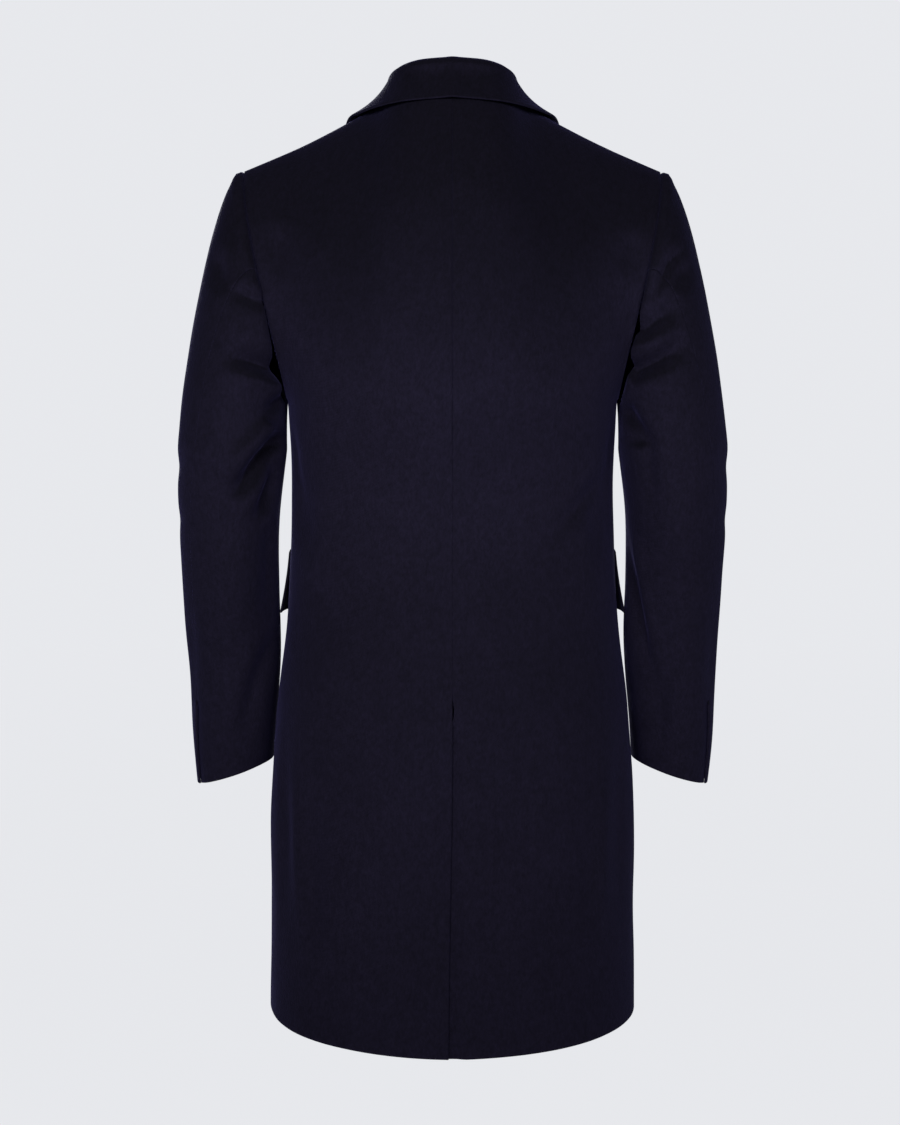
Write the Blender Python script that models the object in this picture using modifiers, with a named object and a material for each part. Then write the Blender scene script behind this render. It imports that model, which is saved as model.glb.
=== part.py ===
"""Single-breasted wool overcoat, hollow, in the form it holds when worn.

Two backs with a lapped centre vent, two fronts with turned-back lapels, a turned-down
collar, two-piece sleeves, two pocket flaps and three buttons. Metres, +Z up. The origin
is the middle of the neck opening at the height of the nape. The front faces -Y, and the
coat's left side is +X. Each panel is a grid of points on the inner face of the cloth,
worked out from the sections below, and Solidify gives it the wall outwards.
"""

import math
from collections import namedtuple

import bmesh
import bpy
import numpy as np

COAT = "wool_overcoat"

# Cloth and seams.
WALL = 0.0026
SEAM = 0.0003
ARMHOLE_SEAM = 0.0017
COLLAR_SEAM = 0.0020
LAYER = 0.0004

# Lengths, as heights from the nape.
HEM_BACK = -1.007
HEM_SIDE = -0.989
HEM_FRONT = -0.988
CHEST = -0.325
BREAK = -0.385
NECK_HALF_WIDTH = 0.071
NECK_BACK = 0.062
SHOULDER_NECK = (NECK_HALF_WIDTH, -0.002, -0.003)
SHOULDER_END = (0.2245, -0.008, -0.0765)
SHOULDER_SAG = 0.004

# Shape of a horizontal section: the exponent of a rounded oval, and the steps it is read in.
OVAL_BACK = 2.2
OVAL_FRONT = 2.5
OVAL_POINTS = 61

# Powers of the curve that the hem follows from the middle to the side.
HEM_BEND_BACK = 1.5
HEM_BEND_FRONT = 2

# Outer sizes of the body, a row for each section.
BodySection = namedtuple("BodySection", "z half_width back_depth front_depth")
BODY = (
    BodySection(-1.010, 0.2020, 0.163, 0.160),
    BodySection(-0.880, 0.2000, 0.156, 0.154),
    BodySection(-0.760, 0.1995, 0.151, 0.149),
    BodySection(-0.660, 0.1925, 0.146, 0.146),
    BodySection(-0.560, 0.1810, 0.137, 0.143),
    BodySection(-0.470, 0.1760, 0.129, 0.140),
    BodySection(-0.400, 0.1752, 0.129, 0.140),
    BodySection(CHEST, 0.1790, 0.137, 0.141),
)

# The upper panels: each column rises from the chest row to the neck or shoulder on a
# curve whose two handles lead out of its ends. Across is 0 at the middle of the coat
# and 1 at the armhole.
Handles = namedtuple("Handles", "across low_x low_y low_z high_x high_y high_z")
BACK_HANDLES = (
    Handles(0.00, 0.000, 0.006, 0.105, 0.000, 0.026, -0.050),
    Handles(0.40, 0.002, 0.006, 0.105, 0.004, 0.056, -0.024),
    Handles(0.75, 0.008, 0.026, 0.080, 0.004, 0.060, -0.024),
    Handles(1.00, -0.001, 0.073, 0.010, 0.004, 0.069, -0.040),
)
FRONT_HANDLES = (
    Handles(0.00, 0.030, -0.003, 0.105, 0.002, -0.072, -0.050),
    Handles(0.50, 0.006, -0.010, 0.105, 0.000, -0.066, -0.038),
    Handles(0.75, 0.006, -0.034, 0.080, -0.002, -0.066, -0.036),
    Handles(1.00, -0.009, -0.083, 0.010, -0.010, -0.066, -0.040),
)
NECK_SHARE = 0.42

# Columns of each panel, and its rows below and above the chest.
PANEL_COLUMNS = 11
LOWER_ROWS = 11
UPPER_ROWS = 8
TOP_DRAWN_IN = 0.0015

# Steps on a panel, as shares of it, for its normal and for the armhole's own direction.
NORMAL_STEP = 0.004
ARMHOLE_STEP = 0.01
ROW_POINTS = 13

# Centre-back vent: the left back laps over the right.
VENT_TOP = -0.665
VENT_LAP = 0.036
VENT_TUCK = WALL + 4 * LAYER
VENT_EASE = 0.024
VENT_SWING = 0.004
VENT_RAMP = (0.024, 0.008)
VENT_FADE = 3

# Front edges: the left front laps over the right, which lies further in.
FRONT_LAP = 0.030
LAPEL_LIFT = 0.0010
LAPEL_ROLL = 0.0015
LAPEL_CREST = 1.4
FRONT_TUCK = 2 * WALL + LAPEL_LIFT + LAPEL_ROLL + 4 * LAYER
TUCK_RAMP = 0.045

# Sleeve: a row for each ring, with outer sizes. The forearm swings forward and its hem
# drops outwards.
SleeveRing = namedtuple("SleeveRing", "z outer_x inner_x middle_y half_depth drop")
SLEEVE = (
    SleeveRing(-0.735, 0.2860, 0.2005, -0.043, 0.0530, 0.345),
    SleeveRing(-0.690, 0.2895, 0.1970, -0.037, 0.0545, 0.260),
    SleeveRing(-0.610, 0.2925, 0.1905, -0.026, 0.0580, 0.120),
    SleeveRing(-0.520, 0.2965, 0.1905, -0.013, 0.0620, 0.040),
    SleeveRing(-0.440, 0.2995, 0.1885, -0.003, 0.0660, 0.000),
    SleeveRing(-0.375, 0.2992, 0.1808, 0.000, 0.0710, 0.000),
)
FOLD_BACK = (40, 140)
FOLD_FRONT = (10, 120)
SLEEVE_ROWS = 9
HEAD_ROWS = 8

# Sleeve head: the handles of the curve that leads from the armhole to the first ring.
# Around is the angle from the top of the shoulder, by way of the back.
HeadHandles = namedtuple("HeadHandles", "around out_x out_y out_z rise_x rise_y rise_z")
HEAD = (
    HeadHandles(0, 0.024, 0.000, 0.006, -0.008, 0.000, 0.110),
    HeadHandles(50, 0.024, 0.012, 0.000, -0.006, -0.004, 0.100),
    HeadHandles(110, 0.014, 0.010, -0.020, -0.002, -0.002, 0.060),
    HeadHandles(180, 0.0014, 0.000, -0.014, 0.000, 0.000, 0.018),
    HeadHandles(250, 0.012, -0.008, -0.020, -0.002, 0.002, 0.060),
    HeadHandles(310, 0.022, -0.012, 0.000, -0.006, 0.004, 0.100),
    HeadHandles(360, 0.024, 0.000, 0.006, -0.008, 0.000, 0.110),
)

# The two lengthwise sleeve seams, as angles around the sleeve at its head and hem.
HIND_SEAM = (75, 28)
FORE_SEAM = (232, 222)
TOP_SLEEVE_COLUMNS = 9
UNDER_SLEEVE_COLUMNS = 8

# Lapel: its width across the front panel, a row for each height. Up is 0 at the break
# and 1 at the gorge.
LapelRow = namedtuple("LapelRow", "up width")
LAPEL = (
    LapelRow(0.00, 0.004),
    LapelRow(0.30, 0.042),
    LapelRow(0.65, 0.075),
    LapelRow(1.00, 0.093),
)
GORGE_AT_ROLL = 1.755
GORGE_AT_POINT = 1.650
LAPEL_ROWS = 10
LAPEL_COLUMNS = 5

# Collar: a row for each section from the nape (along 0), past the shoulder seam (0.5), to
# its front end (1): the top of the roll, the middle of the fall and the fall's outer edge.
CollarSection = namedtuple(
    "CollarSection", "along roll_x roll_y roll_z mid_x mid_y mid_z edge_x edge_y edge_z"
)
COLLAR = (
    CollarSection(0.00, 0.000, 0.052, 0.0365, 0.000, 0.0635, 0.0150, 0.000, 0.0720, -0.0055),
    CollarSection(0.20, 0.036, 0.0435, 0.0335, 0.0455, 0.0520, 0.0105, 0.054, 0.0595, -0.0092),
    CollarSection(0.45, 0.060, 0.009, 0.0225, 0.0790, 0.0120, 0.0010, 0.099, 0.0125, -0.0165),
    CollarSection(0.60, 0.062, -0.013, 0.0075, 0.087, -0.0135, -0.0080, 0.113, -0.0110, -0.0215),
    CollarSection(0.80, 0.0645, -0.0325, -0.020, 0.0945, -0.0350, -0.0405, 0.120, -0.037, -0.055),
    CollarSection(1.00, 0.0625, -0.0545, -0.055, 0.092, -0.0620, -0.0815, 0.125, -0.060, -0.089),
)
COLLAR_FRONT_END = 1.765
COLLAR_COLUMNS = 33
ROLL_RADIUS = 0.0034
ROLL_POINTS = 5
FALL_SHARES = (1 / 3, 2 / 3, 1)

# Pocket flaps, on the fronts beside the side seams.
FLAP_TOP = -0.486
FLAP_HEIGHT = 0.070
FLAP_LENGTH = 0.165
FLAP_FROM_SEAM = 0.006
FLAP_LIFT = 0.0062
FLAP_BEND = 1.5
FLAP_COLUMNS = 8
FLAP_ROWS = 4

# Front buttons.
BUTTON_RADIUS = 0.0140
BUTTON_THICKNESS = 0.0038
BUTTON_HEIGHTS = (-0.405, -0.525, -0.645)
BUTTON_STEPS = 20

NAVY = (0.012, 0.010, 0.024, 1.0)
CLOTH_ROUGHNESS = 0.9
HORN = (0.010, 0.009, 0.011, 1.0)
HORN_ROUGHNESS = 0.35


def clear_scene():
    for obj in list(bpy.data.objects):
        bpy.data.objects.remove(obj, do_unlink=True)


def smooth(low, high, value):
    """0 below low, 1 above high and an even S between them; the ends may be swapped."""
    share = min(max((value - low) / (high - low), 0.0), 1.0)
    return share * share * (3 - 2 * share)


def through(table, key):
    """The columns of a table at a key, on a smooth curve through its rows."""
    rows = np.array(table)
    keys, values = rows[:, 0], rows[:, 1:]
    slopes = np.gradient(values, keys, axis=0)
    at = int(np.clip(np.searchsorted(keys, key) - 1, 0, len(keys) - 2))
    span = keys[at + 1] - keys[at]
    t = (key - keys[at]) / span
    return (
        values[at] * (2 * t**3 - 3 * t**2 + 1)
        + slopes[at] * span * (t**3 - 2 * t**2 + t)
        + values[at + 1] * (3 * t**2 - 2 * t**3)
        + slopes[at + 1] * span * (t**3 - t**2)
    )


def bezier(start, start_handle, end_handle, end, t):
    """Cubic curve between two points, with its handles given from its ends."""
    start, end = np.array(start, float), np.array(end, float)
    first, second = start + start_handle, end + end_handle
    s = 1 - t
    return s**3 * start + 3 * s * s * t * first + 3 * s * t * t * second + t**3 * end


def oval(half_width, depth, power, share):
    """Point of a rounded oval's quarter, by length from its side (0) to its middle (1)."""
    angle = np.linspace(0, math.pi / 2, OVAL_POINTS)
    x = half_width * np.cos(angle) ** (2 / power)
    y = depth * np.sin(angle) ** (2 / power)
    run = np.concatenate([[0], np.cumsum(np.hypot(np.diff(x), np.diff(y)))])
    return np.interp(share * run[-1], run, x), np.interp(share * run[-1], run, y), run[-1]


def section_point(z, across, back):
    """Inner face of the body at a height. Across is 0 at the middle and 1 at the side;
    below 0 it goes on past the middle."""
    half_width, back_depth, front_depth = through(BODY, z) - WALL
    depth, power = (back_depth, OVAL_BACK) if back else (front_depth, OVAL_FRONT)
    x, y, _ = oval(half_width, depth, power, 1 - abs(across))
    return np.array([math.copysign(x, across) if across else 0.0, y if back else -y, z])


def quarter_length(z, back):
    half_width, back_depth, front_depth = through(BODY, z) - WALL
    depth, power = (back_depth, OVAL_BACK) if back else (front_depth, OVAL_FRONT)
    return oval(half_width, depth, power, 1)[2]


def shoulder_seam(share):
    """From the neck (0) to the armhole (1)."""
    sag = np.array([0, 0, SHOULDER_SAG * math.sin(math.pi * share)])
    return np.array(SHOULDER_NECK) * (1 - share) + np.array(SHOULDER_END) * share - sag


def back_surface(across, up):
    """Left back, inner face. Up is 0 at the hem, 1 at the chest and 2 at the top."""
    if up <= 1:
        hem = HEM_BACK + (HEM_SIDE - HEM_BACK) * abs(across) ** HEM_BEND_BACK
        return section_point(hem + (CHEST - hem) * up, across, back=True)
    if across < NECK_SHARE:
        turn = across / NECK_SHARE * math.pi / 2
        neck_drop = SHOULDER_NECK[2] * across / NECK_SHARE
        top = np.array([NECK_HALF_WIDTH * math.sin(turn), NECK_BACK * math.cos(turn), neck_drop])
    else:
        top = shoulder_seam((across - NECK_SHARE) / (1 - NECK_SHARE))
    handles = through(BACK_HANDLES, across)
    chest = section_point(CHEST, across, back=True)
    return bezier(chest, handles[:3], handles[3:], top, up - 1)


def front_edge(z):
    """Across value of the front edge, which lies past the middle."""
    return -FRONT_LAP / quarter_length(z, back=False)


def front_surface(across, up):
    """Left front, inner face. Across is 0 at the front edge and 1 at the side."""
    if up <= 1:
        hem = HEM_FRONT + (HEM_SIDE - HEM_FRONT) * across**HEM_BEND_FRONT
        chest = BREAK + (CHEST - BREAK) * smooth(0, 1, across)
        z = hem + (chest - hem) * up
        edge = front_edge(z)
        return section_point(z, edge + (1 - edge) * across, back=False)
    handles = through(FRONT_HANDLES, across)
    return bezier(
        front_surface(across, 1), handles[:3], handles[3:], shoulder_seam(across), up - 1
    )


def normal(surface, across, up, outward):
    """Unit normal of a surface, on the side of a given direction."""
    step = NORMAL_STEP
    along = surface(across + step, up) - surface(across - step, up)
    rise = surface(across, up + step) - surface(across, up - step)
    n = np.cross(along, rise)
    n /= np.linalg.norm(n)
    return n if n @ np.array(outward) > 0 else -n


def mirrored(point):
    return point * np.array([-1, 1, 1])


def panel_rows():
    """Up values of a panel's rows, drawn in from the top seam."""
    lower = np.linspace(0, 1, LOWER_ROWS, endpoint=False)
    upper = np.linspace(1, 2 - TOP_DRAWN_IN, UPPER_ROWS + 1)
    return np.concatenate([lower, upper])


def put_in(name, mesh, colour, roughness):
    """New object of the coat's collection, with a material of its own."""
    material = bpy.data.materials.new(name)
    material.use_nodes = True
    shader = material.node_tree.nodes["Principled BSDF"]
    shader.inputs["Base Color"].default_value = colour
    shader.inputs["Roughness"].default_value = roughness
    mesh.materials.append(material)
    obj = bpy.data.objects.new(name, mesh)
    bpy.data.collections[COAT].objects.link(obj)
    return obj


def cloth(name, grid, flip=False, wall=WALL):
    """A panel of cloth: a grid of points, and Solidify outwards from it."""
    rows, columns = len(grid), len(grid[0])
    bm = bmesh.new()
    points = [[bm.verts.new(tuple(point)) for point in row] for row in grid]
    for r in range(rows - 1):
        for c in range(columns - 1):
            corners = [points[r][c], points[r][c + 1], points[r + 1][c + 1], points[r + 1][c]]
            bm.faces.new(corners[::-1] if flip else corners)
    mesh = bpy.data.meshes.new(name)
    bm.to_mesh(mesh)
    bm.free()
    mesh.shade_smooth()
    obj = put_in(name, mesh, NAVY, CLOTH_ROUGHNESS)
    solid = obj.modifiers.new("Wall", "SOLIDIFY")
    solid.thickness = wall
    solid.offset = 1
    solid.use_even_offset = True
    return obj


def both_sides(name, grid, flip, wall=WALL):
    cloth(name + "_left", grid, flip, wall)
    cloth(name + "_right", [[mirrored(p) for p in row] for row in grid], not flip, wall)


def backs():
    """Left back with the vent's free edge, and right back with the underlap."""
    gap = SEAM / 2 / quarter_length(CHEST, back=True)
    shares = np.linspace(gap, 1 - gap, PANEL_COLUMNS)
    vent_rows = [
        (VENT_TOP + VENT_EASE - HEM_BACK) / (CHEST - HEM_BACK),
        (VENT_TOP - HEM_BACK) / (CHEST - HEM_BACK),
        (VENT_TOP - VENT_EASE - HEM_BACK) / (CHEST - HEM_BACK),
    ]
    ups = np.array(panel_rows())
    for row in vent_rows:
        ups[np.argmin(abs(ups - row))] = row
    left, right = [], []
    for up in ups:
        z = HEM_BACK + (CHEST - HEM_BACK) * min(up, 1)
        length = quarter_length(z, back=True)
        opened = smooth(VENT_TOP, HEM_BACK, z) * VENT_SWING / length
        left.append([back_surface(a + opened * (1 - a), up) for a in shares])
        lap = VENT_LAP / length * smooth(VENT_TOP, VENT_TOP - VENT_EASE, z)
        tuck = VENT_TUCK * smooth(VENT_TOP + VENT_EASE, VENT_TOP, z)
        row = []
        for share in shares:
            across = share - lap * (1 - share) ** VENT_FADE
            point = back_surface(across, up)
            inward = tuck * smooth(*VENT_RAMP, point[0])
            row.append(mirrored(point - inward * normal(back_surface, across, up, (0, 1, 0))))
        right.append(row)
    cloth("back_left", left, flip=True)
    cloth("back_right", right, flip=False)


def fronts():
    """The left front laps over the right, which is set in near its edge."""
    gap = SEAM / 2 / quarter_length(CHEST, back=False)
    shares = np.linspace(0, 1 - gap, PANEL_COLUMNS + 1)
    left, right = [], []
    for up in panel_rows():
        left.append([front_surface(a, up) for a in shares])
        row = []
        for a in shares:
            point = front_surface(a, up)
            tuck = FRONT_TUCK * smooth(FRONT_LAP + TUCK_RAMP, FRONT_LAP, point[0])
            row.append(mirrored(point + np.array([0, tuck, 0])))
        right.append(row)
    cloth("front_left", left, flip=False)
    cloth("front_right", right, flip=True)


def armhole(around):
    """Where the sleeve's inner face starts: 0 at the shoulder, 90 at the back, 180 under the
    arm. It goes on from the panel there, and under the arm it folds down outside it."""
    back = around <= 180
    surface = back_surface if back else front_surface
    up = 2 - (around if back else 360 - around) / 180
    point = surface(1, up)
    step = ARMHOLE_STEP
    seam = surface(1, min(up + step, 2)) - surface(1, max(up - step, 1))
    seam /= np.linalg.norm(seam)
    out = point - surface(1 - step, up)
    out -= (out @ seam) * seam
    out /= np.linalg.norm(out)
    fold = smooth(*FOLD_BACK, around) if back else smooth(*FOLD_FRONT, 360 - around)
    off = normal(surface, 1 - step, up, (1, 0, 0))
    return point + ARMHOLE_SEAM * (1 - fold) * out + fold * (2 * WALL + 3 * LAYER) * off


def sleeve_ring(z, around):
    """Inner face of the sleeve at the height of a ring's middle."""
    outer_x, inner_x, middle_y, half_depth, drop = through(SLEEVE, z)
    middle_x = (outer_x + inner_x) / 2
    turn = math.radians(around)
    x = ((outer_x - inner_x) / 2 - WALL) * math.cos(turn)
    y = (half_depth - WALL) * math.sin(turn)
    return np.array([middle_x + x, middle_y + y, z - drop * x])


def sleeve_surface(around, down):
    """Left sleeve, inner face. Down is 0 at the armhole, 1 at the first ring, 2 at the hem."""
    first = SLEEVE[-1].z
    if down >= 1:
        return sleeve_ring(first + (SLEEVE[0].z - first) * (down - 1), around)
    handles = through(HEAD, around)
    return bezier(armhole(around), handles[:3], handles[3:], sleeve_ring(first, around), down)


def sleeve_seam(seam, down):
    return seam[0] + (seam[1] - seam[0]) * down / 2


def sleeves():
    """Top and under sleeve of each side."""
    downs = np.concatenate(
        [np.linspace(0, 1, HEAD_ROWS, endpoint=False), np.linspace(1, 2, SLEEVE_ROWS)]
    )
    gap = math.degrees(SEAM / 2 / (SLEEVE[0].outer_x - SLEEVE[0].inner_x) * 2)
    top, under = [], []
    for down in downs:
        hind, fore = sleeve_seam(HIND_SEAM, down), sleeve_seam(FORE_SEAM, down)
        over = np.linspace(fore + gap, hind + 360 - gap, TOP_SLEEVE_COLUMNS)
        below = np.linspace(hind + gap, fore - gap, UNDER_SLEEVE_COLUMNS)
        top.append([sleeve_surface(a % 360, down) for a in over])
        under.append([sleeve_surface(a, down) for a in below])
    both_sides("sleeve_top", top, flip=True)
    both_sides("sleeve_under", under, flip=True)


def on_front(across, up, out, right=False):
    """Point of the left or the right front, moved out from its inner face."""
    point = front_surface(across, up)
    if right:
        tuck = FRONT_TUCK * smooth(FRONT_LAP + TUCK_RAMP, FRONT_LAP, point[0])
        point = point + np.array([0, tuck, 0])
    return point + out * normal(front_surface, across, up, (0, -1, 0.2))


def row_length(up):
    """Length of the front panel's row, from its edge to the armhole."""
    points = np.array([front_surface(a, up) for a in np.linspace(0, 1, ROW_POINTS)])
    return np.linalg.norm(np.diff(points, axis=0), axis=1).sum()


def lapels():
    """Each lapel turns back along the roll line and lies on its front."""
    for side in ("left", "right"):
        grid = []
        for rise in np.linspace(0, 1, LAPEL_ROWS):
            row = []
            for share in np.linspace(0, 1, LAPEL_COLUMNS + 1):
                top = GORGE_AT_ROLL + (GORGE_AT_POINT - GORGE_AT_ROLL) * share
                up = 1 + (top - 1) * rise
                across = through(LAPEL, rise)[0] / row_length(up) * share
                lift = LAPEL_ROLL * math.sin(math.pi * min(share * LAPEL_CREST, 1))
                point = on_front(across, up, WALL + LAPEL_LIFT + lift, right=side == "right")
                row.append(point if side == "left" else mirrored(point))
            grid.append(row)
        cloth("lapel_" + side, grid, flip=side == "right")


def neck_seam(along):
    """Outer face of the neckline: the backs' top edge, then the roll edge of a front."""
    if along <= 0.5:
        across, surface, outward = along / 0.5 * NECK_SHARE, back_surface, (0, 1, 0.2)
        up = 2
    else:
        across, surface, outward = 0, front_surface, (0, -1, 0.2)
        up = 2 - (along - 0.5) / 0.5 * (2 - COLLAR_FRONT_END)
    return surface(across, up) + WALL * normal(surface, across, min(up, 1.99), outward)


def collar_section(along):
    """Inner face of the collar: up the stand, over the roll and down the fall."""
    values = through(COLLAR, abs(along))
    roll, middle, edge = values[:3], values[3:6], values[6:]
    out = (edge - roll) * np.array([1, 1, 0])
    out /= np.linalg.norm(out)
    fold = [
        roll + ROLL_RADIUS * (out * (1 - math.cos(a)) + np.array([0, 0, math.sin(a) - 1]))
        for a in np.linspace(0, math.pi, ROLL_POINTS)
    ]
    seam = neck_seam(abs(along))
    seam += (fold[0] - seam) * COLLAR_SEAM / np.linalg.norm(fold[0] - seam)
    stand = [seam, (seam + fold[0]) / 2]
    fall = [
        fold[-1] * (1 - t) * (1 - 2 * t) + middle * 4 * t * (1 - t) + edge * t * (2 * t - 1)
        for t in FALL_SHARES
    ]
    points = np.array(stand + fold + fall)
    return points if along >= 0 else points * np.array([-1, 1, 1])


def collar():
    grid = [collar_section(along) for along in np.linspace(-1, 1, COLLAR_COLUMNS)]
    cloth("collar", grid, flip=True)


def flaps():
    """Pocket flaps, made from the fronts' own points and lifted towards their lower edge."""
    grid = []
    for drop in np.linspace(0, 1, FLAP_ROWS + 1):
        z = FLAP_TOP - FLAP_HEIGHT * drop
        up = (z - HEM_SIDE) / (CHEST - HEM_SIDE)
        length = row_length(up)
        row = []
        for share in np.linspace(0, 1, FLAP_COLUMNS + 1):
            across = 1 - (FLAP_FROM_SEAM + FLAP_LENGTH * share) / length
            out = WALL + 2 * LAYER + FLAP_LIFT * drop**FLAP_BEND
            point = front_surface(across, up)
            lifted = point + out * normal(front_surface, across, up, (1, -1, 0))
            lifted[2] = z
            row.append(lifted)
        grid.append(row)
    both_sides("pocket_flap", grid, flip=False)


def buttons():
    """Turned discs with a raised rim, on the left front along the coat's middle."""
    r, t = BUTTON_RADIUS, BUTTON_THICKNESS
    profile = (
        (0.0, t * 0.62),
        (r * 0.58, t * 0.62),
        (r * 0.74, t),
        (r * 0.90, t),
        (r, t * 0.62),
        (r * 0.97, t * 0.2),
        (r * 0.80, 0.0),
        (0.0, 0.0),
    )
    for number, z in enumerate(BUTTON_HEIGHTS, 1):
        mesh = bpy.data.meshes.new(f"button_{number}")
        edges = [(i, i + 1) for i in range(len(profile) - 1)]
        mesh.from_pydata([(x, 0, y) for x, y in profile], edges, [])
        obj = put_in(f"button_{number}", mesh, HORN, HORN_ROUGHNESS)
        turn = obj.modifiers.new("Turn", "SCREW")
        turn.steps = turn.render_steps = BUTTON_STEPS
        turn.use_merge_vertices = True
        turn.merge_threshold = 0.00001
        front_depth = through(BODY, z)[2]
        obj.location = (0, -front_depth - 2 * LAYER, z)
        obj.rotation_euler = (math.pi / 2, 0, 0)


def main():
    clear_scene()
    collection = bpy.data.collections.new(COAT)
    bpy.context.scene.collection.children.link(collection)
    backs()
    fronts()
    lapels()
    collar()
    sleeves()
    flaps()
    buttons()


main()
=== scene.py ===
"""Looks of a navy wool overcoat, filled out and hollow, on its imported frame.

Each piece of cloth is a thin closed shell on the form of its own solid, with its folds,
pressed seams and rounded edges, in a brushed wool. Metres, +Z up, the coat's front faces
-Y and its left side is +X, with the origin at the nape.
"""

import math
from collections import namedtuple
from functools import cache

import bmesh
import bpy
import numpy as np
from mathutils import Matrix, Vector


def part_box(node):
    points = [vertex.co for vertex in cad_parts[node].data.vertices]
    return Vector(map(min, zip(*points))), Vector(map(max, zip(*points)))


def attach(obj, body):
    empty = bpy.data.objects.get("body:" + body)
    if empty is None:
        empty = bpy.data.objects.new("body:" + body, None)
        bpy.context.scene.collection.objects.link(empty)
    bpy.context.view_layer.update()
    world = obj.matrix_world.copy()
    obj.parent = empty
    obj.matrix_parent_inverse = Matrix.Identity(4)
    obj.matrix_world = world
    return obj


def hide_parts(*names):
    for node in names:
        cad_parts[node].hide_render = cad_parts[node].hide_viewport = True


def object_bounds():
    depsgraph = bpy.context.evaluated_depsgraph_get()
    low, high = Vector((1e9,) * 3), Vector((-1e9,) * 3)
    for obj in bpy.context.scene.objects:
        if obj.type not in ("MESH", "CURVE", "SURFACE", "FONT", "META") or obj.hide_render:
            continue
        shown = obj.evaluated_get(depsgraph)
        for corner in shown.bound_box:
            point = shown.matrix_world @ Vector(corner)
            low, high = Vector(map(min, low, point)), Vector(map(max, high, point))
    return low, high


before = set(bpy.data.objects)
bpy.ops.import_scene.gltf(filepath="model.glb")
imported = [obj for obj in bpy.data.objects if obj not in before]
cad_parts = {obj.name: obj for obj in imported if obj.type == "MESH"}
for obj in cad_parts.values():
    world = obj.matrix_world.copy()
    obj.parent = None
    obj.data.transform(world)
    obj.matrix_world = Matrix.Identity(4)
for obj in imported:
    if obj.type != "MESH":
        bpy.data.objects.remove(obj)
cad_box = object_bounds()

SIDES = {"left": 1, "right": -1}

# ---- form, as in the solids

WALL = 0.0026
LAYER = 0.0004
# Gaps at the seams. They are closer than the solids', so that no light shows through, and
# the collar's stand reaches just into the backs.
ARMHOLE_SEAM = 0.0002
COLLAR_SEAM = -0.0006

HEM_BACK = -1.007
HEM_SIDE = -0.989
HEM_FRONT = -0.988
CHEST = -0.325
BREAK = -0.385
NECK_HALF_WIDTH = 0.071
NECK_BACK = 0.062
SHOULDER_NECK = (NECK_HALF_WIDTH, -0.002, -0.003)
SHOULDER_END = (0.2245, -0.008, -0.0765)
SHOULDER_SAG = 0.004
OVAL_BACK = 2.2
OVAL_FRONT = 2.5
OVAL_POINTS = 61
HEM_BEND_BACK = 1.5
HEM_BEND_FRONT = 2
NORMAL_STEP = 0.004
ARMHOLE_STEP = 0.01
NEAR_TOP = 1.99
OUT_BACK = (0, 1, 0.2)
OUT_FRONT = (0, -1, 0.2)
ROW_POINTS = 13

BodySection = namedtuple("BodySection", "z half_width back_depth front_depth")
BODY = (
    BodySection(-1.010, 0.2020, 0.163, 0.160),
    BodySection(-0.880, 0.2000, 0.156, 0.154),
    BodySection(-0.760, 0.1995, 0.151, 0.149),
    BodySection(-0.660, 0.1925, 0.146, 0.146),
    BodySection(-0.560, 0.1810, 0.137, 0.143),
    BodySection(-0.470, 0.1760, 0.129, 0.140),
    BodySection(-0.400, 0.1752, 0.129, 0.140),
    BodySection(CHEST, 0.1790, 0.137, 0.141),
)

Handles = namedtuple("Handles", "across low_x low_y low_z high_x high_y high_z")
BACK_HANDLES = (
    Handles(0.00, 0.000, 0.006, 0.105, 0.000, 0.026, -0.050),
    Handles(0.40, 0.002, 0.006, 0.105, 0.004, 0.056, -0.024),
    Handles(0.75, 0.008, 0.026, 0.080, 0.004, 0.060, -0.024),
    Handles(1.00, -0.001, 0.073, 0.010, 0.004, 0.069, -0.040),
)
FRONT_HANDLES = (
    Handles(0.00, 0.030, -0.003, 0.105, 0.002, -0.072, -0.050),
    Handles(0.50, 0.006, -0.010, 0.105, 0.000, -0.066, -0.038),
    Handles(0.75, 0.006, -0.034, 0.080, -0.002, -0.066, -0.036),
    Handles(1.00, -0.009, -0.083, 0.010, -0.010, -0.066, -0.040),
)
NECK_SHARE = 0.42

VENT_TOP = -0.665
VENT_LAP = 0.036
VENT_TUCK = WALL + 4 * LAYER
VENT_EASE = 0.024
VENT_SWING = 0.004
VENT_FADE = 3

FRONT_LAP = 0.030
LAPEL_LIFT = 0.0010
LAPEL_ROLL = 0.0015
LAPEL_CREST = 1.4
FRONT_TUCK = 2 * WALL + LAPEL_LIFT + LAPEL_ROLL + 4 * LAYER
TUCK_RAMP = 0.045

SleeveRing = namedtuple("SleeveRing", "z outer_x inner_x middle_y half_depth drop")
SLEEVE = (
    SleeveRing(-0.735, 0.2860, 0.2005, -0.043, 0.0530, 0.345),
    SleeveRing(-0.690, 0.2895, 0.1970, -0.037, 0.0545, 0.260),
    SleeveRing(-0.610, 0.2925, 0.1905, -0.026, 0.0580, 0.120),
    SleeveRing(-0.520, 0.2965, 0.1905, -0.013, 0.0620, 0.040),
    SleeveRing(-0.440, 0.2995, 0.1885, -0.003, 0.0660, 0.000),
    SleeveRing(-0.375, 0.2992, 0.1808, 0.000, 0.0710, 0.000),
)
FOLD_BACK = (40, 140)
FOLD_FRONT = (10, 120)

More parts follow.
